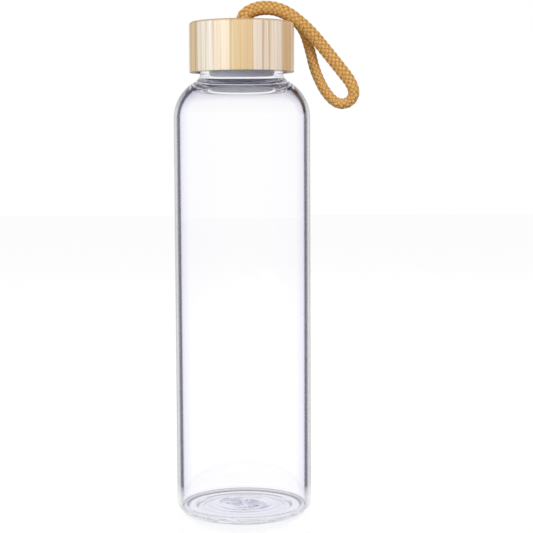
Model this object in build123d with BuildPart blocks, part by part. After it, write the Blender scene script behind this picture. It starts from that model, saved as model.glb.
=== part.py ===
"""Glass water bottle with a bamboo screw cap and a braided cord loop.

Millimetres, +Z up. The origin is on the bottle's axis, on the plane that it stands on.
"""

import os
from math import acos, degrees, pi, radians, sin, tan

from build123d import *

os.makedirs("parts", exist_ok=True)

# --- bottle -----------------------------------------------------------------------------
BODY_R = 32.5  # outside of the straight wall
WALL = 1.5
HEEL_R = 6.0  # outer corner between wall and base
FLOOR_TOP = 3.6  # inside of the base, at its edge
INNER_HEEL_R = 2.0
FOOT_R = 23.5  # inner edge of the flat ring that the bottle stands on
FOOT_ROUND = 2.0
PUNT_R = 19.0  # where the push-up under the base becomes flat
PUNT_HEIGHT = 1.6
PUNT_EDGE_R = 6.0
FLOOR_CROWN = 0.8  # how far the inside floor rises from its edge to its middle
FLOOR_BEND_R = 60.0  # the wide curve in the middle of the inside floor
SHOULDER_R = 20.0  # radius of the shoulder's arc
SHOULDER_Z = 189.7  # where the straight wall ends
INNER_SHOULDER_R = 16.0  # smaller than the outer arc, so the shoulder is thicker than the wall
NECK_R = 19.7  # the band of neck that shows below the cap
NECK_BLEND_R = 5.0  # hollow curve between shoulder and neck
BORE_R = 16.4  # inside of the neck
BORE_BLEND_R = 1.0
FINISH_R = 18.6  # root of the thread
FINISH_Z = 212.9
RIM_Z = 220.8
RIM_ROUND = 0.9

# --- thread, right-handed, the same pitch on glass and liner -----------------------------
PITCH = 3.6
THREAD_TURNS = 1.25
THREAD_TIP_R = 19.7
THREAD_ROOT_WIDTH = 1.7
THREAD_TIP_WIDTH = 0.8
THREAD_BITE = 0.3  # how far a ridge reaches into the wall that carries it
THREAD_START_Z = 214.1
LINER_TIP_R = 18.95
LINER_ROOT_WIDTH = 1.5
LINER_TIP_WIDTH = 0.8

# --- cap --------------------------------------------------------------------------------
CAP_R = 24.9
CAP_BOTTOM = 211.4
CAP_TOP = 235.0
CAP_ROUND = 1.5
CAP_FOOT_ROUND = 0.4
LINER_BORE_R = 21.75
CHAMBER_R = 10.4
CHAMBER_ROOF = 230.4
CORD_HOLE_R = 6.0
CORD_HOLE_ROUND = 1.0

# --- liner and seal -----------------------------------------------------------------------
LINER_R = 21.4
LINER_RIB = 0.3
LINER_RIBS = 24
LINER_RIB_WIDTH = 0.9
LINER_RIB_LEAD = 1.0  # plain band below the ribs, so that the liner starts easily
LINER_INNER_R = 20.05
LINER_BOTTOM = 212.2
LINER_TOP = 224.0
LINER_ROOF = 222.4
PLUG_R = 15.5  # hollow plug that reaches down the bore and guides the cap
PLUG_INNER_R = 14.0
PLUG_BOTTOM = 206.8
PLUG_FLOOR = 208.3
SEAL_GAP = 0.05
SEAL_INNER_R = 15.9
SEAL_R = 19.7
SEAL_ROUND = 0.3

# --- cord ---------------------------------------------------------------------------------
CORD_D = 5.4
LEG_Y = 2.85  # half the spacing of the two legs side by side
SWING_Z = 238.0  # height of the axis that the loop swings about
KNOT_R = 8.4
KNOT_BOTTOM = 219.9
KNOT_TOP = 230.1
KNOT_ROUND = 2.8

# The loop's route, from one leg over the cap's edge, round the bight and back.
ROUTE = [
    (0.0, -LEG_Y, SWING_Z),
    (3.6, -2.85, 241.0),
    (8.4, -2.9, 242.5),
    (13.8, -2.9, 242.8),
    (21.6, -2.9, 240.6),
    (32.3, -3.0, 232.3),
    (40.4, -2.9, 221.9),
    (47.2, -2.5, 212.8),
    (52.0, -1.8, 206.0),
    (53.5, -0.9, 200.4),
    (50.3, 0.1, 196.0),
    (45.0, 1.0, 195.9),
    (39.8, 1.8, 201.8),
    (34.8, 2.4, 212.0),
    (32.8, 2.9, 222.4),
    (30.3, 3.0, 232.8),
    (24.8, 2.9, 238.7),
    (16.0, 2.9, 242.6),
    (7.8, 2.9, 242.4),
    (3.0, 2.85, 240.4),
    (0.0, LEG_Y, SWING_Z),
]
ARC_SHARE = 0.45  # share of the shorter run that an arc may use


def route_radii(points):
    """The largest arc that fits at each inner point of a route."""
    corners = [Vector(*point) for point in points]
    radii = []
    for before, here, after in zip(corners, corners[1:], corners[2:]):
        turn = radians((here - before).get_angle(after - here))
        shorter = min((here - before).length, (after - here).length)
        radii.append(ARC_SHARE * shorter / tan(turn / 2))
    return radii


def thread_ridge(root_r, tip_r, root_width, tip_width, start_z):
    """One right-hand ridge as a solid, from root_r to tip_r. It starts over the +X axis."""
    turns_height = PITCH * THREAD_TURNS
    with BuildPart() as ridge:
        with BuildLine() as path:
            Helix(pitch=PITCH, height=turns_height, radius=root_r, center=(0, 0, start_z))
        with BuildSketch(Plane.XZ):
            with BuildLine():
                Polyline(
                    (root_r, start_z - root_width / 2),
                    (tip_r, start_z - tip_width / 2),
                    (tip_r, start_z + tip_width / 2),
                    (root_r, start_z + root_width / 2),
                    close=True,
                )
            make_face()
        sweep(path=path.line, binormal=Edge.make_line((0, 0, 0), (0, 0, 1)))
    return ridge.part


# --- glass bottle -------------------------------------------------------------------------
# The shoulder's arc and the hollow neck curve touch at this angle above the horizontal.
shoulder_axis = BODY_R - SHOULDER_R
neck_centre_r = NECK_R + NECK_BLEND_R
outer_angle = degrees(acos((neck_centre_r - shoulder_axis) / (SHOULDER_R + NECK_BLEND_R)))
neck_centre_z = SHOULDER_Z + (SHOULDER_R + NECK_BLEND_R) * sin(radians(outer_angle))

inner_axis = BODY_R - WALL - INNER_SHOULDER_R
bore_centre_r = BORE_R + BORE_BLEND_R
inner_reach = INNER_SHOULDER_R + BORE_BLEND_R
inner_angle = degrees(acos((bore_centre_r - inner_axis) / inner_reach))
bore_centre_z = SHOULDER_Z + inner_reach * sin(radians(inner_angle))

glass_ridge = thread_ridge(
    FINISH_R - THREAD_BITE, THREAD_TIP_R, THREAD_ROOT_WIDTH, THREAD_TIP_WIDTH, THREAD_START_Z
)

with BuildPart() as glass_bottle:
    with BuildSketch(Plane.XZ):
        with BuildLine():
            base = FilletPolyline(
                (0, PUNT_HEIGHT),
                (PUNT_R, PUNT_HEIGHT),
                (FOOT_R, 0),
                (BODY_R, 0),
                (BODY_R, SHOULDER_Z),
                radius=[PUNT_EDGE_R, FOOT_ROUND, HEEL_R],
            )
            CenterArc((shoulder_axis, SHOULDER_Z), SHOULDER_R, 0, outer_angle)
            CenterArc(
                (neck_centre_r, neck_centre_z), NECK_BLEND_R, 180 + outer_angle, -outer_angle
            )
            Polyline(
                (NECK_R, neck_centre_z),
                (NECK_R, FINISH_Z - (NECK_R - FINISH_R)),
                (FINISH_R, FINISH_Z),
                (FINISH_R, RIM_Z - RIM_ROUND),
            )
            CenterArc((FINISH_R - RIM_ROUND, RIM_Z - RIM_ROUND), RIM_ROUND, 0, 90)
            Line((FINISH_R - RIM_ROUND, RIM_Z), (BORE_R + RIM_ROUND, RIM_Z))
            CenterArc((BORE_R + RIM_ROUND, RIM_Z - RIM_ROUND), RIM_ROUND, 90, 90)
            Line((BORE_R, RIM_Z - RIM_ROUND), (BORE_R, bore_centre_z))
            CenterArc((bore_centre_r, bore_centre_z), BORE_BLEND_R, 180, inner_angle)
            CenterArc((inner_axis, SHOULDER_Z), INNER_SHOULDER_R, inner_angle, -inner_angle)
            FilletPolyline(
                (BODY_R - WALL, SHOULDER_Z),
                (BODY_R - WALL, FLOOR_TOP),
                (PUNT_R, FLOOR_TOP + FLOOR_CROWN / 2),
                (0, FLOOR_TOP + FLOOR_CROWN),
                radius=[INNER_HEEL_R, FLOOR_BEND_R],
            )
            Line((0, FLOOR_TOP + FLOOR_CROWN), (0, PUNT_HEIGHT))
        make_face()
    revolve(axis=Axis.Z)
    add(glass_ridge)
glass_bottle.part.label = "glass_bottle"
export_step(glass_bottle.part, "parts/glass_bottle.step")

# --- bamboo cap: one turned piece of laminated bamboo ---------------------------------------
with BuildPart() as bamboo_cap:
    with BuildSketch(Plane.XY.offset(CAP_BOTTOM)):
        Circle(CAP_R)
    extrude(amount=CAP_TOP - CAP_BOTTOM)
    with BuildSketch(Plane.XY.offset(CAP_BOTTOM)):
        Circle(LINER_BORE_R)
    extrude(amount=LINER_TOP - CAP_BOTTOM, mode=Mode.SUBTRACT)
    with BuildSketch(Plane.XY.offset(LINER_TOP)):
        Circle(CHAMBER_R)
    extrude(amount=CHAMBER_ROOF - LINER_TOP, mode=Mode.SUBTRACT)
    with BuildSketch(Plane.XY.offset(CHAMBER_ROOF)):
        Circle(CORD_HOLE_R)
    extrude(amount=CAP_TOP - CHAMBER_ROOF, mode=Mode.SUBTRACT)
    top_edges = bamboo_cap.edges().filter_by(GeomType.CIRCLE).group_by(Axis.Z)[-1]
    fillet(top_edges.sort_by(SortBy.RADIUS)[-1], CAP_ROUND)
    top_edges = bamboo_cap.edges().filter_by(GeomType.CIRCLE).group_by(Axis.Z)[-1]
    fillet(top_edges.sort_by(SortBy.RADIUS)[0], CORD_HOLE_ROUND)
    foot_edges = bamboo_cap.edges().filter_by(GeomType.CIRCLE).group_by(Axis.Z)[0]
    fillet(foot_edges, CAP_FOOT_ROUND)
bamboo_cap.part.label = "bamboo_cap"
export_step(bamboo_cap.part, "parts/bamboo_cap.step")

# --- cap liner: moulded insert with the female thread and a hollow plug for the bore ---------
# Half a turn round from the glass thread, so each ridge lies midway between the other's turns.
liner_ridge = thread_ridge(
    LINER_INNER_R + THREAD_BITE, LINER_TIP_R, LINER_ROOT_WIDTH, LINER_TIP_WIDTH, THREAD_START_Z
).rotate(Axis.Z, 180)

with BuildPart() as cap_liner:
    with BuildSketch(Plane.XZ):
        with BuildLine():
            Polyline(
                (0, PLUG_BOTTOM),
                (PLUG_R, PLUG_BOTTOM),
                (PLUG_R, LINER_ROOF),
                (LINER_INNER_R, LINER_ROOF),
                (LINER_INNER_R, LINER_BOTTOM),
                (LINER_R, LINER_BOTTOM),
                (LINER_R, LINER_TOP),
                (PLUG_INNER_R, LINER_TOP),
                (PLUG_INNER_R, PLUG_FLOOR),
                (0, PLUG_FLOOR),
                close=True,
            )
        make_face()
    revolve(axis=Axis.Z)
    with BuildSketch(Plane.XY.offset(LINER_BOTTOM + LINER_RIB_LEAD)):
        with PolarLocations(LINER_R, LINER_RIBS):
            Rectangle(2 * LINER_RIB, LINER_RIB_WIDTH)
    extrude(amount=LINER_TOP - LINER_BOTTOM - LINER_RIB_LEAD)
    add(liner_ridge)
cap_liner.part.label = "cap_liner"
export_step(cap_liner.part, "parts/cap_liner.step")

# --- seal ring: flat washer that the liner presses on the rim -------------------------------
with BuildPart() as seal_ring:
    with BuildSketch(Plane.XY.offset(RIM_Z + SEAL_GAP)):
        Circle(SEAL_R)
        Circle(SEAL_INNER_R, mode=Mode.SUBTRACT)
    extrude(amount=LINER_ROOF - RIM_Z - 2 * SEAL_GAP)
    fillet(seal_ring.edges().filter_by(GeomType.CIRCLE), SEAL_ROUND)
seal_ring.part.label = "seal_ring"
export_step(seal_ring.part, "parts/seal_ring.step")

# --- stopper knot under the cap's top -------------------------------------------------------
with BuildPart() as stopper_knot:
    with BuildSketch(Plane.XY.offset(KNOT_BOTTOM)):
        Circle(KNOT_R)
    extrude(amount=KNOT_TOP - KNOT_BOTTOM)
    fillet(stopper_knot.edges().filter_by(GeomType.CIRCLE), KNOT_ROUND)
stopper_knot.part.label = "stopper_knot"
export_step(stopper_knot.part, "parts/stopper_knot.step")

# --- the cord's two legs in the hole --------------------------------------------------------
with BuildPart() as cord_legs:
    with BuildSketch(Plane.XY.offset(KNOT_TOP)):
        with Locations((0, -LEG_Y), (0, LEG_Y)):
            Circle(CORD_D / 2)
    extrude(amount=CAP_TOP - KNOT_TOP)
cord_legs.part.label = "cord_legs"
export_step(cord_legs.part, "parts/cord_legs.step")

# --- carry loop: the free cord above the hole -----------------------------------------------
loop_radii = route_radii(ROUTE)
print("loop radii", [round(radius, 1) for radius in loop_radii])

with BuildPart() as carry_loop:
    with BuildLine() as route:
        FilletPolyline(*ROUTE, radius=loop_radii)
    with BuildSketch(Plane(origin=route.line @ 0, z_dir=route.line % 0)):
        Circle(CORD_D / 2)
    sweep(path=route.line)
    tube_volume = carry_loop.part.volume
    with Locations(ROUTE[0], ROUTE[-1]):
        Sphere(CORD_D / 2)
carry_loop.part.label = "carry_loop"
export_step(carry_loop.part, "parts/carry_loop.step")

loop_length = sum(edge.length for edge in route.edges())
section = pi * CORD_D**2 / 4
print("loop length", round(loop_length, 1), "volume ratio", tube_volume / (section * loop_length))
print("bottle height", glass_bottle.part.bounding_box().size.Z)
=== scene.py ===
from math import acos, atan2, ceil, cos, hypot, pi, radians, sin, tan, tau

import bmesh
import bpy
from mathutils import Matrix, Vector


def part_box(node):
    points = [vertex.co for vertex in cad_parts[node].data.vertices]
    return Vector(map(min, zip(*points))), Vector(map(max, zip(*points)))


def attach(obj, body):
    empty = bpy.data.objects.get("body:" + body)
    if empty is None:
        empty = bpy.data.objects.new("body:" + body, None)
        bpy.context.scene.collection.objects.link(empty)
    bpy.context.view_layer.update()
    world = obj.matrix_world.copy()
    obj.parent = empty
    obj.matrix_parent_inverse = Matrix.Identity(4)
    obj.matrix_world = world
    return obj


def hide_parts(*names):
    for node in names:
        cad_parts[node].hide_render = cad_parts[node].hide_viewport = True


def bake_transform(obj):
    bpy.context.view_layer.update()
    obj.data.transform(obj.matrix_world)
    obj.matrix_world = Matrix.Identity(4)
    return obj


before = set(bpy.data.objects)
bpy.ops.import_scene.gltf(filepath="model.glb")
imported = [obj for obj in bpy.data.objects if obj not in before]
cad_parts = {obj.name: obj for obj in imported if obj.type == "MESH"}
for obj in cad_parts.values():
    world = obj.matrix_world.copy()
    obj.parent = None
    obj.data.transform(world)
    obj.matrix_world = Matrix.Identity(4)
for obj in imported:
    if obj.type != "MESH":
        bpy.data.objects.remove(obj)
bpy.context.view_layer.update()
scene = bpy.context.scene

MM = 0.001

# --- sizes in millimetres, from the frame where it has them -----------------------------------
glass_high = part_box("glass_bottle")[1] / MM
cap_low, cap_high = (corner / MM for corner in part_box("bamboo_cap"))
seal_low, seal_high = (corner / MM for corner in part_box("seal_ring"))

BODY_R, RIM_Z = glass_high[0], glass_high[2]
CAP_R, CAP_BOTTOM, CAP_TOP = cap_high[0], cap_low[2], cap_high[2]

# the bottle
WALL = 1.5
HEEL_R = 6.0
FLOOR_TOP = 3.6
INNER_HEEL_R = 2.0
FLOOR_EDGE_R = BODY_R - WALL - INNER_HEEL_R
FOOT_R = 23.5
FOOT_ROUND = 2.0
PUNT_R = 19.0
PUNT_HEIGHT = 1.6
PUNT_EDGE_R = 18.0
SHOULDER_R = 20.0
SHOULDER_Z = 189.7
INNER_SHOULDER_R = 16.0
NECK_R = 19.7
NECK_BLEND_R = 5.0
BORE_R = 16.4
BORE_BLEND_R = 1.0
FINISH_R = 18.6
FINISH_Z = 212.9
RIM_ROUND = 0.9

# how the glass is cut into rows and rounds
ARC_STEPS = 28
HEEL_STEPS = 14
BLEND_STEPS = 10
RIM_STEPS = 8
THREAD_ROW = 0.22
FLOOR_ROW = 0.6

# heights between which the wall takes on its painted edge lines, a painted look of refraction in a
# bright studio: first faint, then full, up to the neck
FAINT_EDGE = 0.5
FAINT_FOOT, FAINT_START = 2.0, 5.0
EDGE_FOOT, EDGE_START = 9.0, 15.0
EDGE_END, EDGE_TOP = 203.0, 206.5

# the painted dark line at the floor's edge, and the painted shadow line under the heel
FLOOR_LINE_LOW, FLOOR_LINE_HIGH = 3.605, 3.85
HEEL_LINE_R = 26.5
HEEL_LINE_LOW, HEEL_LINE_HIGH = 0.3, 1.7

# the screw thread
PITCH = 3.6
THREAD_TURNS = 1.25
THREAD_START_Z = 214.1
THREAD_HEIGHT = 1.1
THREAD_WIDTH = 1.7

# the cap and its liner
CAP_ROUND = 1.7
HOLE_ROUND = 1.0
SKIRT_ROUND = 0.35
SOCKET_ROUND = 0.2
CHAMBER_ROUND = 0.4
SOCKET_R = 21.75
SOCKET_TOP = 224.0
CHAMBER_R = 10.4
CHAMBER_TOP = 230.4
CORD_HOLE_R = 6.0
LINER_R = 21.4
LINER_INNER_R = 20.05
LINER_FOOT = 212.2
LINER_ROOF = 222.4
PLUG_R, PLUG_INNER_R = 15.5, 14.0
PLUG_BOTTOM, PLUG_FLOOR = 206.8, 208.3
PLUG_ROUND = 0.6
LIP_ROUND = 0.4
LINER_ROUND = 0.3
LINER_ROW = 0.25
GRIP_RIBS = 24
SEAL_INNER_R = 15.9
SEAL_ROUND = 0.3

# the cord
LEG_Y = 2.85


# --- small helpers ----------------------------------------------------------------------------
def srgb(code):
    """The linear colour of an sRGB hex code."""
    channels = [int(code[i : i + 2], 16) / 255 for i in (1, 3, 5)]
    return [c / 12.92 if c <= 0.04045 else ((c + 0.055) / 1.055) ** 2.4 for c in channels] + [1]


def add(tree, kind, *values, into=None, stops=None, **settings):
    """Adds a node. values fill its sockets from the first one on, and into fills them by name
    or number, with plain values or with nodes and sockets to link. A node stands for its first
    output. stops are a colour ramp's places and colours, and settings are the node's own."""
    node = tree.nodes.new(kind)
    for key, value in settings.items():
        setattr(node, key, value)
    for key, value in [*enumerate(values), *(into or {}).items()]:
        if isinstance(value, bpy.types.Node):
            value = value.outputs[0]
        if isinstance(value, bpy.types.NodeSocket):
            tree.links.new(value, node.inputs[key])
        else:
            node.inputs[key].default_value = value
    if stops:
        elements = node.color_ramp.elements
        elements.remove(elements[1])
        for number, (place, colour) in enumerate(stops):
            element = elements.new(place) if number else elements[0]
            element.position = place
            element.color = srgb(colour) if isinstance(colour, str) else [colour] * 3 + [1]
    return node


def arc(centre_r, centre_z, radius, start, turn, steps):
    """Points (r, z) along an arc, both ends included. Angles are in degrees."""
    angles = [radians(start + turn * i / steps) for i in range(steps + 1)]
    return [(centre_r + radius * cos(a), centre_z + radius * sin(a)) for a in angles]


def eased(corners, radii, steps=6):
    """An outline through corners, with each inner corner rounded to its own radius."""
    points = [tuple(corners[0])]
    for before, here, after, radius in zip(corners, corners[1:], corners[2:], radii):
        back = (Vector(before) - Vector(here)).normalized()
        ahead = (Vector(after) - Vector(here)).normalized()
        half = back.angle(ahead) / 2
        middle = Vector(here) + (back + ahead).normalized() * radius / sin(half)
        first = Vector(here) + back * radius / tan(half) - middle
        last = Vector(here) + ahead * radius / tan(half) - middle
        start = atan2(first.y, first.x)
        turn = (atan2(last.y, last.x) - start + pi) % tau - pi
        for i in range(steps + 1):
            angle = start + turn * i / steps
            points.append((middle.x + radius * cos(angle), middle.y + radius * sin(angle)))
    return points + [tuple(corners[-1])]


def between(value, low, high):
    """How far a value is from low to high, from 0 to 1."""
    return min(max((value - low) / (high - low), 0), 1)


def ring_outline(corners, radii, steps=4):
    """A closed outline with every corner rounded."""
    around = [corners[-1], *corners, corners[0]]
    return eased(around, radii, steps)[1:-1]


def divided(points, longest):
    """The same outline with no stretch longer than longest."""
    out = [points[0]]
    for a, b in zip(points, points[1:]):
        count = max(1, ceil(hypot(b[0] - a[0], b[1] - a[1]) / longest))
        out += [
            (a[0] + (b[0] - a[0]) * i / count, a[1] + (b[1] - a[1]) * i / count)
            for i in range(1, count + 1)
        ]
    return out


def new_piece(name, data, material):
    """A new object at the origin with this mesh and material."""
    piece = bpy.data.objects.new(name, data)
    scene.collection.objects.link(piece)
    data.materials.append(material)
    return piece


def lathe(name, outline, segments, material, closed=False, shares=None):
    """A turned piece from its outline (r, z). A point on the axis is a pole. shares names point
    attributes, each with the rule that gives a point's value from its r, z and place in line."""
    mesh = bmesh.new()
    layers = {key: mesh.verts.layers.float.new(key) for key in shares or {}}
    rings = []
    for place, (r, z) in enumerate(outline):
        spots = 1 if r < 1e-4 else segments
        ring = []
        for i in range(spots):
            angle = tau * i / segments
            vert = mesh.verts.new((r * MM * cos(angle), r * MM * sin(angle), z * MM))
            for key, layer in layers.items():
                vert[layer] = shares[key](r, z, place)
            ring.append(vert)
        rings.append(ring * (segments // spots))
    for low, high in list(zip(rings, rings[1:])) + ([(rings[-1], rings[0])] if closed else []):
        for i in range(segments):
            j = (i + 1) % segments
            mesh.faces.new(list(dict.fromkeys((low[i], low[j], high[j], high[i]))))
    bmesh.ops.recalc_face_normals(mesh, faces=mesh.faces)
    data = bpy.data.meshes.new(name)
    mesh.to_mesh(data)
    mesh.free()
    data.shade_smooth()
    return new_piece(name, data, material)


def new_tree(name, sockets):
    """A Geometry Nodes tree with named inputs: name, kind and starting value."""
    tree = bpy.data.node_groups.new(name, "GeometryNodeTree")
    tree.interface.new_socket("Geometry", in_out="INPUT", socket_type="NodeSocketGeometry")
    tree.interface.new_socket("Geometry", in_out="OUTPUT", socket_type="NodeSocketGeometry")
    tree.interface.new_socket("Material", in_out="INPUT", socket_type="NodeSocketMaterial")
    for label, kind, value in sockets:
        socket = tree.interface.new_socket(label, in_out="INPUT", socket_type="NodeSocket" + kind)
        socket.default_value = value
    return tree, tree.nodes.new("NodeGroupInput").outputs


def close_tree(tree, given, geometry):
    """Ends a tree in real geometry with its material set."""
    real = add(tree, "GeometryNodeRealizeInstances", geometry)
    painted = add(tree, "GeometryNodeSetMaterial", real, into={"Material": given["Material"]})
    add(tree, "NodeGroupOutput", painted)
    return tree


def grown(piece, tree, **inputs):
    """Runs a Geometry Nodes tree on a piece and keeps the result as its plain mesh."""
    material = piece.data.materials[0]
    modifier = piece.modifiers.new("grow", "NODES")
    modifier.node_group = tree
    for item in tree.interface.items_tree:
        label = item.name.replace(" ", "_").lower()
        if item.name == "Material":
            modifier[item.identifier] = material
        elif label in inputs:
            modifier[item.identifier] = inputs[label]
    graph = bpy.context.evaluated_depsgraph_get()
    piece.data = bpy.data.meshes.new_from_object(piece.evaluated_get(graph))
    piece.data.materials.clear()
    piece.data.materials.append(material)
    piece.modifiers.clear()
    return piece


# --- camera -----------------------------------------------------------------------------------
def make_camera():
    camera = bpy.data.objects.new("camera", bpy.data.cameras.new("camera"))
    camera.data.lens = 95.7
    camera.data.sensor_width = 36
    camera.location = (0, -0.6782, 0.1761)
    camera.rotation_euler = (radians(90 - 4.82), radians(0.27), radians(-0.98))
    camera.data.clip_start, camera.data.clip_end = 0.01, 20
    scene.collection.objects.link(camera)
    scene.camera = camera


# --- materials --------------------------------------------------------------------------------
def new_material(name):
    """A new node material, with its empty tree."""
    material = bpy.data.materials.new(name)
    material.use_nodes = True
    material.node_tree.nodes.clear()
    return material, material.node_tree


def borosilicate_glass():
    """Borosilicate glass, blown and fire polished: clear and smooth. Its colour paints the look of a
    bright studio seen through the thin wall: by how far the wall turns from the view, a painted dark
    line just inside each edge, a painted lilac tint beside it and a painted grey outline."""
    material, tree = new_material("borosilicate glass, blown")
    # painted refraction: a ramp on how far the wall turns from the view paints a dark line inside
    # each edge, a lilac tint beside it and a grey outline
    facing = add(tree, "ShaderNodeLayerWeight", 0.5).outputs["Facing"]
    edge = add(
        tree,
        "ShaderNodeValToRGB",
        facing,
        stops=[
            (0.00, "#FFFFFF"),
            (0.38, "#FCFCFF"),
            (0.50, "#E2E2F4"),
            (0.55, "#CFCFE8"),
            (0.575, "#8E8EA8"),
            (0.592, "#100E18"),
            (0.665, "#100E18"),
            (0.70, "#606068"),
            (0.73, "#9A9AA2"),
            (0.79, "#A2A2AA"),
            (0.83, "#58585E"),
            (1.00, "#2C2C30"),
        ],
    )
    # how much of the painted edge lines the outside of the wall shows, by height
    skin = add(tree, "ShaderNodeAttribute", attribute_name="outer_skin").outputs["Fac"]
    tint = add(
        tree,
        "ShaderNodeMix",
        into={0: skin, 6: srgb("#FEFEFF"), 7: edge},
        data_type="RGBA",
    ).outputs[2]
    # a grey-lilac tint on the inner floor, a painted dark line at the floor's edge, and a painted
    # shadow line under the heel where the glass would show the shaded floor contact
    for mark, colour in (
        ("floor_share", "#DADAE8"),
        ("floor_edge", "#84848F"),
        ("heel_line", "#26262C"),
    ):
        mark = add(tree, "ShaderNodeAttribute", attribute_name=mark).outputs["Fac"]
        tint = add(
            tree, "ShaderNodeMix", into={0: mark, 6: tint, 7: srgb(colour)}, data_type="RGBA"
        ).outputs[2]
    glass = add(
        tree,
        "ShaderNodeBsdfPrincipled",
        into={"Base Color": tint, "Roughness": 0.0, "IOR": 1.47, "Transmission Weight": 1.0},
    )
    clear = add(tree, "ShaderNodeBsdfTransparent", srgb("#F4F4FA"))
    path = add(tree, "ShaderNodeLightPath").outputs
    light = add(
        tree, "ShaderNodeMath", path["Is Shadow Ray"], path["Is Diffuse Ray"], operation="MAXIMUM"
    )
    # light that the wall carries along inside itself leaks out again after seven bounces
    carried = 7.5
    deep = add(tree, "ShaderNodeMath", path["Ray Depth"], carried, operation="GREATER_THAN")
    light = add(tree, "ShaderNodeMath", light, deep, operation="MAXIMUM")
    add(tree, "ShaderNodeOutputMaterial", add(tree, "ShaderNodeMixShader", light, glass, clear))
    return material


# Where the cap's strips meet, in millimetres across it, and each strip's tone from the left.
STRIP_SEAMS = [-20.6, -13.0, -5.5, -0.6, 5.1, 11.5, 18.9]
STRIP_TONES = [
    "#E6CFA6",
    "#F8EEDD",
    "#F6E5CB",
    "#DEC498",
    "#DCC095",
    "#E4D2BF",
    "#EAD9C6",
    "#D8B68C",
]


def laminated_bamboo():
    """Bamboo strips glued side by side, turned and sanded: pale straw strips of differing tone,
    straight fibres up the cap, darker bundles among them, and their cut ends as dots on top."""
    material, tree = new_material("laminated bamboo, turned and sanded")
    position = add(tree, "ShaderNodeTexCoord").outputs["Object"]
    axes = add(tree, "ShaderNodeSeparateXYZ", position).outputs
    width, depth = 50 * MM, 18 * MM
    line = 0.14 * MM
    shift = 0.37
    fibre, bundle, band = 0.9 * MM, 1.3 * MM, 4.0 * MM
    stretch = 0.012

    # three layers of strips in the cap's depth, each with its own order of tones
    layer = add(tree, "ShaderNodeMath", axes["Y"], 1 / depth, 1.5, operation="MULTIPLY_ADD")
    layer_number = add(tree, "ShaderNodeMath", layer, operation="FLOOR")
    across = add(tree, "ShaderNodeMath", axes["X"], 1 / width, 0.5, operation="MULTIPLY_ADD")
    across = add(tree, "ShaderNodeMath", layer_number, shift, across, operation="MULTIPLY_ADD")
    across = add(tree, "ShaderNodeMath", across, operation="FRACT")
    places = [x * MM / width + 0.5 for x in STRIP_SEAMS]
    tones = add(tree, "ShaderNodeValToRGB", across, stops=list(zip([0, *places], STRIP_TONES)))
    tones.color_ramp.interpolation = "CONSTANT"
    seam = line / width
    seams = [stop for p in places for stop in ((p - seam, 0.0), (p, 1.0), (p + seam, 0.0))]
    across_seam = add(tree, "ShaderNodeValToRGB", across, stops=seams)
    edge_of_layer = add(tree, "ShaderNodeMath", layer, 0.0, operation="FRACT")
    edge_of_layer = add(
        tree, "ShaderNodeMath", edge_of_layer, line / depth, operation="LESS_THAN"
    )
    glue = add(tree, "ShaderNodeMath", across_seam, edge_of_layer, operation="MAXIMUM")

    # fibres run up the cap, so every pattern is stretched along Z
    along = add(tree, "ShaderNodeMapping", position, into={"Scale": (1, 1, stretch)})
    fibres = add(tree, "ShaderNodeTexNoise", along, into={"Scale": 1 / fibre, "Detail": 3.0})
    bands = add(tree, "ShaderNodeTexNoise", along, into={"Scale": 1 / band, "Detail": 2.0})
    bundles = add(tree, "ShaderNodeTexNoise", along, into={"Scale": 1 / bundle, "Detail": 1.0})
    dark = add(tree, "ShaderNodeMapRange", bundles, 0.58, 0.72, 0.0, 0.55)

    tone = add(
        tree,
        "ShaderNodeHueSaturation",
        into={
            "Value": add(tree, "ShaderNodeMapRange", bands, 0.25, 0.75, 0.95, 1.05),
            "Saturation": add(tree, "ShaderNodeMapRange", bands, 0.25, 0.75, 1.15, 0.88),
            "Color": tones,
        },
    )
    tone = add(
        tree,
        "ShaderNodeHueSaturation",
        into={
            "Value": add(tree, "ShaderNodeMapRange", fibres, 0.25, 0.75, 0.86, 1.08),
            "Color": tone,
        },
    )
    tone = add(
        tree, "ShaderNodeMix", into={0: dark, 6: tone, 7: srgb("#B58E5C")}, data_type="RGBA"
    ).outputs[2]
    tone = add(
        tree,
        "ShaderNodeMix",
        into={
            0: add(tree, "ShaderNodeMath", glue, 0.45, operation="MULTIPLY"),
            6: tone,
            7: srgb("#9A7345"),
        },
        data_type="RGBA",
    ).outputs[2]

    # darker where the surface faces up: the cut ends on top take more finish, and the same darkening
    # is painted shade on the top and its rounded edge, which get less light from above than from the
    # front
    normal = add(tree, "ShaderNodeTexCoord").outputs["Normal"]
    upward = add(tree, "ShaderNodeSeparateXYZ", normal).outputs["Z"]
    end_grain_and_top_shade = add(tree, "ShaderNodeMapRange", upward, 0.25, 0.8, 0.0, 0.75)
    tone = add(
        tree, "ShaderNodeMix", into={0: end_grain_and_top_shade, 6: tone, 7: srgb("#B48E60")}, data_type="RGBA"
    ).outputs[2]
    timber = add(
        tree,
        "ShaderNodeBsdfPrincipled",
        into={
            "Base Color": tone,
            "Roughness": add(tree, "ShaderNodeMapRange", fibres, 0.2, 0.8, 0.62, 0.45),
            "Normal": add(
                tree,
                "ShaderNodeBump",
                into={"Strength": 0.35, "Distance": 0.06 * MM, "Height": fibres},
            ),
        },
    )
    add(tree, "ShaderNodeOutputMaterial", timber)
    return material


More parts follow.
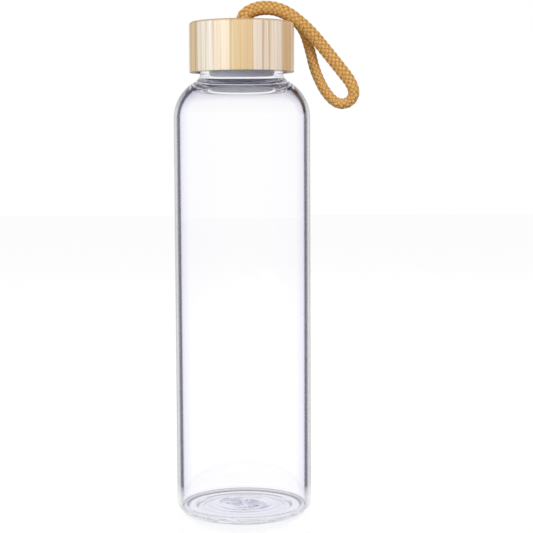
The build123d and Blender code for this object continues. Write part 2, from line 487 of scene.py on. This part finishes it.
def braided_polyester():
    """Spun polyester yarn, braided and dyed ochre: matt and a little fuzzy. Its tone is painted
    shade where the strands dive under each other and lighter on their crests. Its filaments are
    drawn coarser than they are, twelve to a strand, so that they show."""
    material, tree = new_material("polyester yarn, braided and dyed")
    position = add(tree, "ShaderNodeTexCoord").outputs["Object"]
    height = add(tree, "ShaderNodeAttribute", attribute_name="strand_height").outputs["Fac"]
    around = add(tree, "ShaderNodeAttribute", attribute_name="around").outputs["Fac"]
    fleck = 0.9 * MM
    flecks = add(tree, "ShaderNodeTexNoise", position, into={"Scale": 1 / fleck, "Detail": 2.0})
    # painted shade and highlight: the tone runs from dark brown where a strand dips under its
    # neighbours to light gold on its crests, by the stored weave height
    tone = add(
        tree,
        "ShaderNodeValToRGB",
        add(tree, "ShaderNodeMapRange", height, -1.0, 1.0, 0.0, 1.0),
        stops=[(0.0, "#6A4216"), (0.45, "#B8833E"), (1.0, "#E2B26C")],
    )
    tone = add(
        tree,
        "ShaderNodeHueSaturation",
        into={
            "Value": add(tree, "ShaderNodeMapRange", flecks, 0.25, 0.75, 0.8, 1.2),
            "Color": tone,
        },
    )
    count = 12
    filaments = add(tree, "ShaderNodeMath", around, count * tau, operation="MULTIPLY")
    filaments = add(tree, "ShaderNodeMath", filaments, operation="SINE")
    yarn = add(
        tree,
        "ShaderNodeBsdfPrincipled",
        into={
            "Base Color": tone,
            "Roughness": 0.78,
            "Sheen Weight": 0.35,
            "Sheen Roughness": 0.4,
            "Sheen Tint": srgb("#F0CF9A"),
            "Normal": add(
                tree,
                "ShaderNodeBump",
                into={"Strength": 0.4, "Distance": 0.05 * MM, "Height": filaments},
            ),
        },
    )
    add(tree, "ShaderNodeOutputMaterial", yarn)
    return material


def moulded_polypropylene():
    """Natural polypropylene, injection moulded: milky, a little see-through and slightly waxy,
    with a fine texture."""
    material, tree = new_material("natural polypropylene, moulded")
    position = add(tree, "ShaderNodeTexCoord").outputs["Object"]
    grit = 0.6 * MM
    grain = add(tree, "ShaderNodeTexNoise", position, into={"Scale": 1 / grit, "Detail": 2.0})
    plastic = add(
        tree,
        "ShaderNodeBsdfPrincipled",
        into={
            "Base Color": add(
                tree, "ShaderNodeValToRGB", grain, stops=[(0.3, "#E8E9EB"), (0.7, "#F0F1F2")]
            ),
            "Roughness": add(tree, "ShaderNodeMapRange", grain, 0.3, 0.7, 0.34, 0.46),
            "IOR": 1.49,
            "Transmission Weight": 0.4,
            "Subsurface Weight": 0.15,
            "Subsurface Scale": 1.5 * MM,
            "Normal": add(
                tree,
                "ShaderNodeBump",
                into={"Strength": 0.15, "Distance": 0.03 * MM, "Height": grain},
            ),
        },
    )
    add(tree, "ShaderNodeOutputMaterial", plastic)
    return material


def moulded_silicone():
    """Food-grade silicone rubber, moulded: translucent white and matt, with a faint bloom."""
    material, tree = new_material("silicone rubber, moulded")
    position = add(tree, "ShaderNodeTexCoord").outputs["Object"]
    cloud = 2.0 * MM
    bloom = add(tree, "ShaderNodeTexNoise", position, into={"Scale": 1 / cloud, "Detail": 3.0})
    rubber = add(
        tree,
        "ShaderNodeBsdfPrincipled",
        into={
            "Base Color": add(
                tree, "ShaderNodeValToRGB", bloom, stops=[(0.35, "#DCDDDC"), (0.65, "#E8E8E6")]
            ),
            "Roughness": add(tree, "ShaderNodeMapRange", bloom, 0.3, 0.7, 0.5, 0.62),
            "IOR": 1.41,
            "Subsurface Weight": 0.3,
            "Subsurface Scale": 2.0 * MM,
        },
    )
    add(tree, "ShaderNodeOutputMaterial", rubber)
    return material


# --- rules that shape the glass and the liner -------------------------------------------------
def thread_tree():
    """Raises a round-topped screw thread on the rows of a turned piece that are marked for it."""
    tree, given = new_tree(
        "screw_thread",
        [
            ("Pitch", "Float", PITCH * MM),
            ("Turns", "Float", THREAD_TURNS),
            ("Start Height", "Float", THREAD_START_Z * MM),
            ("Start Turn", "Float", 0.0),
            ("Ridge Height", "Float", THREAD_HEIGHT * MM),
            ("Ridge Width", "Float", THREAD_WIDTH * MM),
            ("Run Out", "Float", 0.06),
            ("Crest Share", "Float", 0.35),
        ],
    )
    axes = add(tree, "ShaderNodeSeparateXYZ", add(tree, "GeometryNodeInputPosition")).outputs
    angle = add(tree, "ShaderNodeMath", axes["Y"], axes["X"], operation="ARCTAN2")
    angle = add(tree, "ShaderNodeMath", angle, tau, operation="DIVIDE")
    angle = add(tree, "ShaderNodeMath", angle, given["Start Turn"], operation="SUBTRACT")
    angle = add(tree, "ShaderNodeMath", angle, operation="FRACT")
    climb = add(tree, "ShaderNodeMath", axes["Z"], given["Start Height"], operation="SUBTRACT")
    climb = add(tree, "ShaderNodeMath", climb, given["Pitch"], operation="DIVIDE")
    climb = add(tree, "ShaderNodeMath", climb, angle, operation="SUBTRACT")
    whole = add(tree, "ShaderNodeMath", climb, operation="ROUND")
    off = add(tree, "ShaderNodeMath", climb, whole, operation="SUBTRACT")
    off = add(tree, "ShaderNodeMath", off, operation="ABSOLUTE")
    off = add(tree, "ShaderNodeMath", off, given["Pitch"], operation="MULTIPLY")
    half_width = add(tree, "ShaderNodeMath", given["Ridge Width"], 0.5, operation="MULTIPLY")
    crest_width = add(tree, "ShaderNodeMath", half_width, given["Crest Share"], operation="MULTIPLY")
    crest = add(
        tree, "ShaderNodeMapRange", off, crest_width, half_width, 1.0, 0.0,
        interpolation_type="SMOOTHSTEP",
    )
    along = add(tree, "ShaderNodeMath", whole, angle, operation="ADD")
    left = add(tree, "ShaderNodeMath", given["Turns"], along, operation="SUBTRACT")
    height = add(tree, "ShaderNodeMath", crest, given["Ridge Height"], operation="MULTIPLY")
    for end in (along, left):
        fade = add(
            tree, "ShaderNodeMapRange", end, 0.0, given["Run Out"], 0.0, 1.0,
            interpolation_type="SMOOTHSTEP",
        )
        height = add(tree, "ShaderNodeMath", height, fade, operation="MULTIPLY")
    share = add(tree, "GeometryNodeInputNamedAttribute", "thread_share", data_type="FLOAT")
    height = add(tree, "ShaderNodeMath", height, share, operation="MULTIPLY")
    outwards = add(tree, "ShaderNodeCombineXYZ", axes["X"], axes["Y"])
    outwards = add(tree, "ShaderNodeVectorMath", outwards, operation="NORMALIZE")
    push = add(tree, "ShaderNodeVectorMath", outwards, into={"Scale": height}, operation="SCALE")
    moved = add(tree, "GeometryNodeSetPosition", given["Geometry"], into={"Offset": push})
    return close_tree(tree, given, moved)


def floor_tree():
    """Ripples and one slow swirl in a blown floor, left where the glass was cut from the pipe."""
    tree, given = new_tree(
        "blown_floor",
        [
            ("Reach", "Float", 29 * MM),
            ("Ripple Height", "Float", 0.05 * MM),
            ("Ripple Spacing", "Float", 4.0 * MM),
            ("Swirl Height", "Float", 2.1 * MM),
            ("Swirl Reach", "Float", 14 * MM),
            ("Twist", "Float", 0.1 / MM),
            ("Start Turn", "Float", 1.1),
            ("Still Middle", "Float", 3 * MM),
            ("Fade Start", "Float", 21 * MM),
        ],
    )
    axes = add(tree, "ShaderNodeSeparateXYZ", add(tree, "GeometryNodeInputPosition")).outputs
    flat = add(tree, "ShaderNodeCombineXYZ", axes["X"], axes["Y"])
    out = add(tree, "ShaderNodeVectorMath", flat, operation="LENGTH").outputs["Value"]
    angle = add(tree, "ShaderNodeMath", axes["Y"], axes["X"], operation="ARCTAN2")
    ripple = add(tree, "ShaderNodeMath", out, given["Ripple Spacing"], operation="DIVIDE")
    ripple = add(tree, "ShaderNodeMath", ripple, tau, operation="MULTIPLY")
    ripple = add(tree, "ShaderNodeMath", ripple, operation="SINE")
    ripple = add(tree, "ShaderNodeMath", ripple, given["Ripple Height"], operation="MULTIPLY")
    turn = add(tree, "ShaderNodeMath", out, given["Twist"], angle, operation="MULTIPLY_ADD")
    turn = add(tree, "ShaderNodeMath", turn, given["Start Turn"], operation="ADD")
    swirl = add(tree, "ShaderNodeMath", turn, operation="SINE")
    near = add(
        tree, "ShaderNodeMapRange", out, 0.0, given["Swirl Reach"], 1.0, 0.0,
        interpolation_type="SMOOTHSTEP",
    )
    middle = add(
        tree, "ShaderNodeMapRange", out, 0.0, given["Still Middle"], 0.0, 1.0,
        interpolation_type="SMOOTHSTEP",
    )
    swirl = add(tree, "ShaderNodeMath", swirl, near, operation="MULTIPLY")
    swirl = add(tree, "ShaderNodeMath", swirl, middle, operation="MULTIPLY")
    swirl = add(tree, "ShaderNodeMath", swirl, given["Swirl Height"], operation="MULTIPLY")
    height = add(tree, "ShaderNodeMath", ripple, swirl, operation="ADD")
    fade = add(
        tree, "ShaderNodeMapRange", out, given["Fade Start"], given["Reach"], 1.0, 0.0,
        interpolation_type="SMOOTHSTEP",
    )
    share = add(tree, "GeometryNodeInputNamedAttribute", "floor_share", data_type="FLOAT")
    height = add(tree, "ShaderNodeMath", height, fade, operation="MULTIPLY")
    height = add(tree, "ShaderNodeMath", height, share, operation="MULTIPLY")
    lift = add(tree, "ShaderNodeCombineXYZ", 0.0, 0.0, height)
    moved = add(tree, "GeometryNodeSetPosition", given["Geometry"], into={"Offset": lift})
    return close_tree(tree, given, moved)


def grip_rib_tree():
    """Half-round ribs in a ring around the liner, which bite into the bamboo."""
    tree, given = new_tree(
        "grip_ribs",
        [
            ("Count", "Int", GRIP_RIBS),
            ("Ring Radius", "Float", LINER_R * MM),
            ("Rib Radius", "Float", 0.3 * MM),
            ("Foot", "Float", (LINER_FOOT + 0.8) * MM),
            ("Height", "Float", 10.2 * MM),
        ],
    )
    ring = add(tree, "GeometryNodeMeshCircle", given["Count"], given["Ring Radius"])
    rib = add(
        tree,
        "GeometryNodeMeshCylinder",
        into={"Vertices": 12, "Radius": given["Rib Radius"], "Depth": given["Height"]},
    )
    ribs = add(tree, "GeometryNodeInstanceOnPoints", ring, into={"Instance": rib})
    middle = add(
        tree, "ShaderNodeMath", given["Height"], 0.5, given["Foot"], operation="MULTIPLY_ADD"
    )
    lift = add(tree, "ShaderNodeCombineXYZ", 0.0, 0.0, middle)
    raised = add(tree, "GeometryNodeTranslateInstances", ribs, into={"Translation": lift})
    return close_tree(tree, given, raised)


# --- glass bottle -----------------------------------------------------------------------------
def bottle_outline():
    """From the middle of the underside, up the outside, over the rim and down the inside, and
    how many of its points are on the outside."""
    axis = BODY_R - SHOULDER_R
    neck_axis = NECK_R + NECK_BLEND_R
    reach = SHOULDER_R + NECK_BLEND_R
    lean = acos((neck_axis - axis) / reach)
    neck_z = SHOULDER_Z + reach * sin(lean)
    lean = lean * 180 / pi
    inner_axis = BODY_R - WALL - INNER_SHOULDER_R
    bore_axis = BORE_R + BORE_BLEND_R
    inner_reach = INNER_SHOULDER_R + BORE_BLEND_R
    inner_lean = acos((bore_axis - inner_axis) / inner_reach)
    bore_z = SHOULDER_Z + inner_reach * sin(inner_lean)
    inner_lean = inner_lean * 180 / pi
    base = eased(
        [(0, PUNT_HEIGHT), (PUNT_R, PUNT_HEIGHT), (FOOT_R, 0), (BODY_R, 0), (BODY_R, EDGE_FOOT)],
        [PUNT_EDGE_R, FOOT_ROUND, HEEL_R],
        HEEL_STEPS,
    )
    finish = divided([(FINISH_R, FINISH_Z), (FINISH_R, RIM_Z - RIM_ROUND)], THREAD_ROW)
    rim = eased(
        [finish[-1], (FINISH_R, RIM_Z), (BORE_R, RIM_Z), (BORE_R, bore_z)],
        [RIM_ROUND, RIM_ROUND],
        RIM_STEPS,
    )
    ripple_edge = FLOOR_EDGE_R - 2 * INNER_HEEL_R
    inside = eased(
        [(BODY_R - WALL, EDGE_START), (BODY_R - WALL, FLOOR_TOP), (ripple_edge, FLOOR_TOP)],
        [INNER_HEEL_R],
        HEEL_STEPS,
    )
    floor = divided([(ripple_edge, FLOOR_TOP), (0, FLOOR_TOP)], FLOOR_ROW)
    outside = [
        *base,
        (BODY_R, EDGE_START),
        *arc(axis, SHOULDER_Z, SHOULDER_R, 0, lean, ARC_STEPS),
        *arc(neck_axis, neck_z, NECK_BLEND_R, 180 + lean, -lean, BLEND_STEPS)[1:],
        (NECK_R, FINISH_Z - (NECK_R - FINISH_R)),
        *finish,
    ]
    return [
        *outside,
        *rim[1:-1],
        *arc(bore_axis, bore_z, BORE_BLEND_R, 180, inner_lean, BLEND_STEPS),
        *arc(
            inner_axis, SHOULDER_Z, INNER_SHOULDER_R, inner_lean, -inner_lean, ARC_STEPS
        )[1:],
        *inside,
        *floor[1:],
    ], len(outside)


def painted_edge_share(z):
    """How strongly the wall's outside shows its painted dark edge lines at a height."""
    faint = FAINT_EDGE * between(z, FAINT_FOOT, FAINT_START)
    full = (1 - FAINT_EDGE) * between(z, EDGE_FOOT, EDGE_START)
    return (faint + full) * (1 - between(z, EDGE_END, EDGE_TOP))


def make_bottle(glass, thread, blown_floor):
    outline, outside = bottle_outline()
    bottle = lathe(
        "bottle_glass",
        outline,
        256,
        glass,
        shares={
            # the share of the painted dark edge lines, by height
            "outer_skin": lambda r, z, place: (place < outside) * painted_edge_share(z),
            "thread_share": lambda r, z, place: float(place < outside and z > FINISH_Z + 0.1),
            "floor_share": lambda r, z, place: float(place > outside and z < FLOOR_TOP + 0.01),
            # a painted dark line at the floor's edge
            "floor_edge": lambda r, z, place: float(
                place > outside and FLOOR_LINE_LOW < z < FLOOR_LINE_HIGH
            ),
            # a painted shadow line under the heel, darkest at the foot
            "heel_line": lambda r, z, place: (place < outside and r > HEEL_LINE_R)
            * (1 - between(z, HEEL_LINE_LOW, HEEL_LINE_HIGH)),
        },
    )
    grown(bottle, thread)
    grown(bottle, blown_floor)
    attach(bottle, "bottle")
    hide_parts("glass_bottle")


# --- cap --------------------------------------------------------------------------------------
def make_cap(bamboo):
    outline = ring_outline(
        [
            (CORD_HOLE_R, CAP_TOP),
            (CAP_R, CAP_TOP),
            (CAP_R, CAP_BOTTOM),
            (SOCKET_R, CAP_BOTTOM),
            (SOCKET_R, SOCKET_TOP),
            (CHAMBER_R, SOCKET_TOP),
            (CHAMBER_R, CHAMBER_TOP),
            (CORD_HOLE_R, CHAMBER_TOP),
        ],
        [
            HOLE_ROUND,
            CAP_ROUND,
            *[SKIRT_ROUND] * 2,
            *[SOCKET_ROUND] * 2,
            *[CHAMBER_ROUND] * 2,
        ],
        8,
    )
    cap = lathe("cap_bamboo", outline, 192, bamboo, closed=True)
    cap.data.set_sharp_from_angle(angle=radians(40))
    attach(cap, "cap")
    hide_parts("bamboo_cap")


def make_liner(plastic, thread, grip_ribs):
    wall = divided(
        [
            (LINER_INNER_R, LINER_ROOF - LINER_ROUND),
            (LINER_INNER_R, LINER_FOOT + LINER_ROUND),
        ],
        LINER_ROW,
    )
    under = eased(
        [(0, PLUG_BOTTOM), (PLUG_R, PLUG_BOTTOM), (PLUG_R, LINER_ROOF), wall[0]],
        [PLUG_ROUND, LINER_ROUND],
        4,
    )
    outer = eased(
        [
            wall[-1],
            (LINER_INNER_R, LINER_FOOT),
            (LINER_R, LINER_FOOT),
            (LINER_R, SOCKET_TOP),
            (PLUG_INNER_R, SOCKET_TOP),
            (PLUG_INNER_R, PLUG_FLOOR),
            (0, PLUG_FLOOR),
        ],
        [*[LINER_ROUND] * 3, LIP_ROUND, PLUG_ROUND],
        4,
    )
    liner = lathe(
        "liner_plastic",
        [*under[:-1], *wall, *outer[1:]],
        160,
        plastic,
        shares={
            "thread_share": lambda r, z, place: float(
                abs(r - LINER_INNER_R) < 0.01 and LINER_FOOT + 0.8 < z < LINER_ROOF - 0.5
            )
        },
    )
    grown(
        liner,
        thread,
        start_turn=0.5,
        start_height=(THREAD_START_Z - PITCH * 0.5) * MM,
        ridge_height=-THREAD_HEIGHT * MM,
        ridge_width=1.5 * MM,
    )
    liner.data.set_sharp_from_angle(angle=radians(40))
    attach(liner, "cap")
    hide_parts("cap_liner")

    ribs = new_piece("liner_grip_ribs", bpy.data.meshes.new("liner_grip_ribs"), plastic)
    grown(ribs, grip_ribs)
    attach(ribs, "cap")


def make_seal(rubber):
    outline = ring_outline(
        [
            (SEAL_INNER_R, seal_low[2]),
            (seal_high[0], seal_low[2]),
            (seal_high[0], seal_high[2]),
            (SEAL_INNER_R, seal_high[2]),
        ],
        [SEAL_ROUND] * 4,
        5,
    )
    seal = lathe("seal_silicone", outline, 128, rubber, closed=True)
    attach(seal, "seal")
    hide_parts("seal_ring")


# --- cord -------------------------------------------------------------------------------------
# The route's points in millimetres: up one leg, over the cap's edge, round the bight and back.
ROUTE = [
    (0.0, -LEG_Y, 230.3),
    (0.2, -LEG_Y, 233.6),
    (0.5, -LEG_Y, 237.6),
    (5.2, -2.85, 240.9),
    (12.4, -2.9, 242.1),
    (21.3, -2.9, 239.8),
    (31.6, -3.0, 231.4),
    (40.2, -2.9, 221.0),
    (47.3, -2.5, 212.2),
    (52.3, -1.8, 205.8),
    (53.7, -0.9, 200.3),
    (50.3, 0.1, 196.5),
    (45.3, 1.0, 196.4),
    (39.9, 1.8, 201.7),
    (34.9, 2.4, 212.0),
    (32.6, 2.9, 222.3),
    (29.5, 3.0, 232.2),
    (23.7, 2.9, 237.6),
    (14.9, 2.9, 241.5),
    (5.6, 2.85, 240.6),
    (0.4, LEG_Y, 236.6),
    (0.0, LEG_Y, 233.4),
    (0.0, LEG_Y, 230.3),
]

# The knot under the cap: one leg goes down, round the middle once and a half, and up again.
KNOT_R = 4.9
KNOT_ROUTE = [
    (0.0, -LEG_Y, 230.3),
    (0.3, -LEG_Y, 228.6),
    (2.6, -3.2, 226.2),
    (KNOT_R, -0.4, 224.2),
    (3.4, 3.9, 222.9),
    (-1.4, KNOT_R, 222.6),
    (-KNOT_R, 1.2, 222.7),
    (-3.6, -3.6, 223.2),
    (1.2, -3.4, 224.1),
    (2.2, 0.6, 225.4),
    (0.6, 2.9, 227.2),
    (0.0, LEG_Y, 228.8),
    (0.0, LEG_Y, 230.3),
]


def smooth_line(name, points):
    """A NURBS spline with these points as its control points, as a mesh of edges and as a list
    of the places along it."""
    curve = bpy.data.curves.new(name, "CURVE")
    curve.dimensions = "3D"
    spline = curve.splines.new("NURBS")
    spline.points.add(len(points) - 1)
    for place, point in zip(spline.points, points):
        place.co = (point[0] * MM, point[1] * MM, point[2] * MM, 1)
    spline.order_u = 3
    spline.use_endpoint_u = True
    spline.resolution_u = 24
    holder = bpy.data.objects.new(name, curve)
    scene.collection.objects.link(holder)
    graph = bpy.context.evaluated_depsgraph_get()
    line = bpy.data.meshes.new_from_object(holder.evaluated_get(graph))
    bpy.data.objects.remove(holder)
    bpy.data.curves.remove(curve)
    path = [line.vertices[0].co.copy()]
    for vertex in line.vertices:
        if (vertex.co - path[-1]).length > 0.02 * MM:
            path.append(vertex.co.copy())
    line.clear_geometry()
    line.from_pydata(path, [(i, i + 1) for i in range(len(path) - 1)], [])
    return line, path


def braid_tree():
    """A braid along a line. Its carriers wind both ways and pass over and under each other, and
    the cord is a little flat: its broad side turns from level to upright on the way."""
    tree, given = new_tree(
        "round_braid",
        [
            ("Carriers", "Int", 12),
            ("Broad Width", "Float", 5.8 * MM),
            ("Narrow Width", "Float", 4.6 * MM),
            ("Turn Start", "Float", 66 * MM),
            ("Turn End", "Float", 88 * MM),
            ("Lay Length", "Float", 15.5 * MM),
            ("Strand Width", "Float", 1.95 * MM),
            ("Strand Thickness", "Float", 0.9 * MM),
            ("Weave Depth", "Float", 0.28 * MM),
            ("Core Radius", "Float", 1.5 * MM),
            ("Step", "Float", 0.35 * MM),
            ("Steady Axis", "Vector", (0.0, 1.0, 0.0)),
        ],
    )
    line = add(tree, "GeometryNodeMeshToCurve", given["Geometry"])
    line = add(
        tree,
        "GeometryNodeResampleCurve",
        into={"Curve": line, "Length": given["Step"]},
        mode="LENGTH",
    )
    copies = add(
        tree,
        "GeometryNodeDuplicateElements",
        into={"Geometry": line, "Amount": given["Carriers"]},
        domain="SPLINE",
    )
    number = copies.outputs["Duplicate Index"]
    along = add(tree, "GeometryNodeSplineParameter").outputs["Length"]
    tangent = add(tree, "GeometryNodeInputTangent")
    normal = add(
        tree, "ShaderNodeVectorMath", tangent, given["Steady Axis"], operation="CROSS_PRODUCT"
    )
    normal = add(tree, "ShaderNodeVectorMath", normal, operation="NORMALIZE")
    binormal = add(tree, "ShaderNodeVectorMath", tangent, normal, operation="CROSS_PRODUCT")

    # each carrier's angle round the cord, and how far out it runs
    odd = add(tree, "ShaderNodeMath", number, 2.0, operation="MODULO")
    way = add(tree, "ShaderNodeMath", odd, 2.0, -1.0, operation="MULTIPLY_ADD")
    place = add(tree, "ShaderNodeMath", number, 2.0, operation="DIVIDE")
    place = add(tree, "ShaderNodeMath", place, operation="FLOOR")
    spacing = add(tree, "ShaderNodeMath", 2 * tau, given["Carriers"], operation="DIVIDE")
    place = add(tree, "ShaderNodeMath", place, spacing, operation="MULTIPLY")
    wound = add(tree, "ShaderNodeMath", along, given["Lay Length"], operation="DIVIDE")
    wound = add(tree, "ShaderNodeMath", wound, tau, operation="MULTIPLY")
    angle = add(tree, "ShaderNodeMath", wound, way, place, operation="MULTIPLY_ADD")
    half = add(tree, "ShaderNodeMath", given["Carriers"], 0.5, operation="MULTIPLY")
    weave = add(tree, "ShaderNodeMath", angle, half, operation="MULTIPLY")
    weave = add(tree, "ShaderNodeMath", weave, operation="COSINE")
    weave = add(tree, "ShaderNodeMath", weave, way, operation="MULTIPLY")
    lift = add(tree, "ShaderNodeMath", weave, given["Weave Depth"], operation="MULTIPLY")
    turned = add(
        tree, "ShaderNodeMapRange", along, given["Turn Start"], given["Turn End"], 0.0, 1.0,
        interpolation_type="SMOOTHSTEP",
    )
    tucked = add(
        tree, "ShaderNodeMath", given["Strand Thickness"], -0.5, lift, operation="MULTIPLY_ADD"
    )
    sides = []
    for first, last in (("Broad Width", "Narrow Width"), ("Narrow Width", "Broad Width")):
        side = add(tree, "ShaderNodeMapRange", turned, 0.0, 1.0, given[first], given[last])
        sides.append(add(tree, "ShaderNodeMath", side, 0.5, tucked, operation="MULTIPLY_ADD"))
    parts = [
        add(
            tree,
            "ShaderNodeVectorMath",
            direction,
            into={
                "Scale": add(
                    tree,
                    "ShaderNodeMath",
                    add(tree, "ShaderNodeMath", angle, operation=turn),
                    side,
                    operation="MULTIPLY",
                )
            },
            operation="SCALE",
        )
        for direction, turn, side in ((normal, "COSINE", sides[0]), (binormal, "SINE", sides[1]))
    ]
    outwards = add(tree, "ShaderNodeVectorMath", *parts, operation="ADD")
    kept = add(tree, "GeometryNodeCaptureAttribute", copies)
    kept.capture_items.new("VECTOR", "outwards")
    kept.capture_items.new("FLOAT", "weave")
    tree.links.new(outwards.outputs[0], kept.inputs[1])
    tree.links.new(weave.outputs[0], kept.inputs[2])
    strands = add(tree, "GeometryNodeSetPosition", kept, into={"Offset": kept.outputs[1]})
    strands = add(
        tree,
        "GeometryNodeSetCurveNormal",
        strands,
        into={"Normal": add(tree, "ShaderNodeVectorMath", kept.outputs[1], operation="NORMALIZE")},
        mode="FREE",
    )
    # the weave's height, which the yarn's colour turns into painted shade in the dips and a lighter
    # tone on the crests
    strands = add(
        tree,
        "GeometryNodeStoreNamedAttribute",
        strands,
        into={"Name": "strand_height", "Value": kept.outputs[2]},
        data_type="FLOAT",
        domain="POINT",
    )
    section = add(tree, "GeometryNodeCurvePrimitiveCircle", into={"Resolution": 8, "Radius": 0.5})
    section = add(
        tree,
        "GeometryNodeStoreNamedAttribute",
        section,
        into={
            "Name": "around",
            "Value": add(tree, "GeometryNodeSplineParameter").outputs["Factor"],
        },
        data_type="FLOAT",
        domain="POINT",
    )
    size = add(
        tree, "ShaderNodeCombineXYZ", given["Strand Thickness"], given["Strand Width"], 1.0
    )
    section = add(tree, "GeometryNodeTransform", section, into={"Scale": size})
    strands = add(
        tree,
        "GeometryNodeCurveToMesh",
        into={"Curve": strands, "Profile Curve": section, "Fill Caps": True},
    )
    core_ring = add(
        tree,
        "GeometryNodeCurvePrimitiveCircle",
        into={"Resolution": 12, "Radius": given["Core Radius"]},
    )
    core = add(
        tree,
        "GeometryNodeCurveToMesh",
        into={"Curve": line, "Profile Curve": core_ring, "Fill Caps": True},
    )
    both = add(tree, "GeometryNodeJoinGeometry", strands)
    tree.links.new(core.outputs[0], both.inputs[0])
    smooth = add(tree, "GeometryNodeSetShadeSmooth", both)
    return close_tree(tree, given, smooth)


def make_cord(braid, yarn):
    line, path = smooth_line("cord_loop", ROUTE)
    cord = new_piece("cord_loop", line, yarn)
    grown(cord, braid)
    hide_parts("carry_loop", "cord_legs")
    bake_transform(cord)

    line, path = smooth_line("cord_knot", KNOT_ROUTE)
    knot = new_piece("cord_knot", line, yarn)
    grown(
        knot,
        braid,
        broad_width=5.0 * MM,
        narrow_width=5.0 * MM,
        steady_axis=(0.35, 0.2, 0.9),
    )
    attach(knot, "swivel")
    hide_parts("stopper_knot")


# --- stage ------------------------------------------------------------------------------------
def make_stage():
    """A glossy white floor that runs into a white backdrop. Lamps and a dim sky light the
    object, and glass sees a ceiling that darkens upwards, as in a studio. The floor gives
    matt surfaces less light than it shows, so that undersides stay shaded."""
    white, tree = new_material("white acrylic sheet, polished")
    path = add(tree, "ShaderNodeLightPath").outputs
    shown, given_off, polish = 0.918, 0.2, 0.16
    glow = add(tree, "ShaderNodeMapRange", path["Is Diffuse Ray"], 0.0, 1.0, shown, given_off)
    even = add(tree, "ShaderNodeEmission", (1, 1, 1, 1), glow)
    lamplit = add(tree, "ShaderNodeBsdfDiffuse", (0.16, 0.16, 0.16, 1))
    mirror = add(tree, "ShaderNodeBsdfGlossy", (1, 1, 1, 1), 0.04)
    body = add(tree, "ShaderNodeAddShader", even, lamplit)
    sheet = add(tree, "ShaderNodeMixShader", polish, body, mirror)
    add(tree, "ShaderNodeOutputMaterial", sheet)
    side = 3.0
    corners = [(-side, -side, 0), (side, -side, 0), (side, side, 0), (-side, side, 0)]
    mesh = bpy.data.meshes.new("studio_floor")
    mesh.from_pydata(corners, [], [(0, 1, 2, 3)])
    new_piece("studio_floor", mesh, white)

    world = bpy.data.worlds.new("studio")
    scene.world = world
    world.use_nodes = True
    tree = world.node_tree
    tree.nodes.clear()
    path = add(tree, "ShaderNodeLightPath").outputs
    direction = add(tree, "ShaderNodeTexCoord").outputs["Generated"]
    upward = add(tree, "ShaderNodeSeparateXYZ", direction).outputs["Z"]
    room = add(
        tree,
        "ShaderNodeValToRGB",
        upward,
        stops=[
            (0.0, "#FFFFFF"),
            (0.18, "#FFFFFF"),
            (0.35, "#DCDCE4"),
            (0.6, "#C6C6D0"),
            (1.0, "#C6C6D0"),
        ],
    )
    seen = add(tree, "ShaderNodeBackground", (1, 1, 1, 1), 1.0)
    through = add(tree, "ShaderNodeBackground", room, 1.0)
    lit = add(tree, "ShaderNodeBackground", (1, 1, 1, 1), 0.3)
    sharp = add(
        tree,
        "ShaderNodeMath",
        path["Is Transmission Ray"],
        path["Is Glossy Ray"],
        operation="MAXIMUM",
    )
    mix = add(tree, "ShaderNodeMixShader", sharp, lit, through)
    mix = add(tree, "ShaderNodeMixShader", path["Is Camera Ray"], mix, seen)
    add(tree, "ShaderNodeOutputWorld", mix)

    target = Vector((0, 0, 0.13))
    for name, place, size, power in (
        ("key", (0.6, -0.85, 0.8), 0.6, 9.0),
        ("fill", (-0.85, -0.75, 0.35), 0.6, 6.5),
        ("back", (0.3, 0.9, 0.8), 0.6, 3.0),
    ):
        lamp = bpy.data.lights.new(name, "AREA")
        lamp.size, lamp.energy = size, power
        holder = bpy.data.objects.new(name, lamp)
        holder.location = place
        holder.rotation_euler = (Vector(place) - target).to_track_quat("Z", "Y").to_euler()
        holder.visible_transmission = holder.visible_glossy = False
        scene.collection.objects.link(holder)


def set_look():
    scene.view_settings.view_transform = "Standard"
    cycles = scene.cycles
    cycles.max_bounces = 28
    cycles.transmission_bounces = 28
    cycles.transparent_max_bounces = 24
    cycles.glossy_bounces = 8
    cycles.diffuse_bounces = 4


make_camera()
set_look()
make_stage()
glass = borosilicate_glass()
bamboo = laminated_bamboo()
plastic = moulded_polypropylene()
rubber = moulded_silicone()
yarn = braided_polyester()
thread = thread_tree()
make_bottle(glass, thread, floor_tree())
make_cap(bamboo)
make_liner(plastic, thread, grip_rib_tree())
make_seal(rubber)
make_cord(braid_tree(), yarn)
